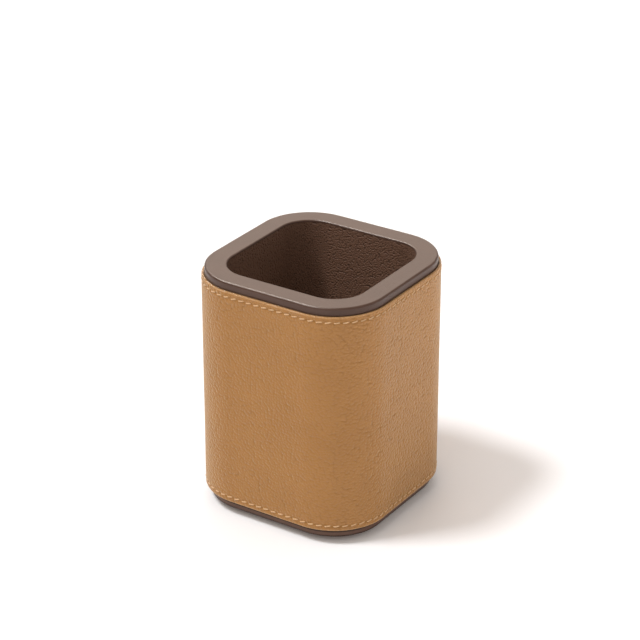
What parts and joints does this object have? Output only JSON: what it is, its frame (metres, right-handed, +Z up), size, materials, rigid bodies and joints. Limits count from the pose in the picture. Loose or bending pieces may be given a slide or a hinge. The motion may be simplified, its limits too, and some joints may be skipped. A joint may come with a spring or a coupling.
{
  "type": "pen holder",
  "caption": "Rounded-square desk cup for pens: stitched tan leather sleeve on a stiff body, dark brown rim, grained leather lining and a set-in base on small feet.",
  "frame": {"origin": "on the table, under the middle of the cup", "axes": "+Z up along the cup, X and Y across its flat sides, +Y towards the side with the sleeve's seam"},
  "size_m": [0.08, 0.08, 0.101],
  "materials": {
    "tan_leather": "fine pebble grain, satin",
    "fibre_board": "raw leather fibre board",
    "thread": "waxed thread",
    "core_board": "raw fibre board",
    "smooth_brown": "covered in smooth dark brown leather, satin",
    "grained_brown_leather": "pebble grain, matt",
    "screw_steel": "zinc plated",
    "foot_rubber": "matt"
  },
  "bodies": {
    "root": {"outer_sleeve": "tan_leather", "sleeve_backing": "fibre_board", "upper_stitching": "thread", "lower_stitching": "thread", "core_tube": "core_board", "core_floor": "core_board", "rim_ring": "smooth_brown", "liner_wall": "grained_brown_leather", "liner_floor": "grained_brown_leather", "base_plate": "smooth_brown", "base_screws": "screw_steel", "foot_front_left": "foot_rubber", "foot_front_right": "foot_rubber", "foot_rear_left": "foot_rubber", "foot_rear_right": "foot_rubber"}
  },
  "joints": []
}
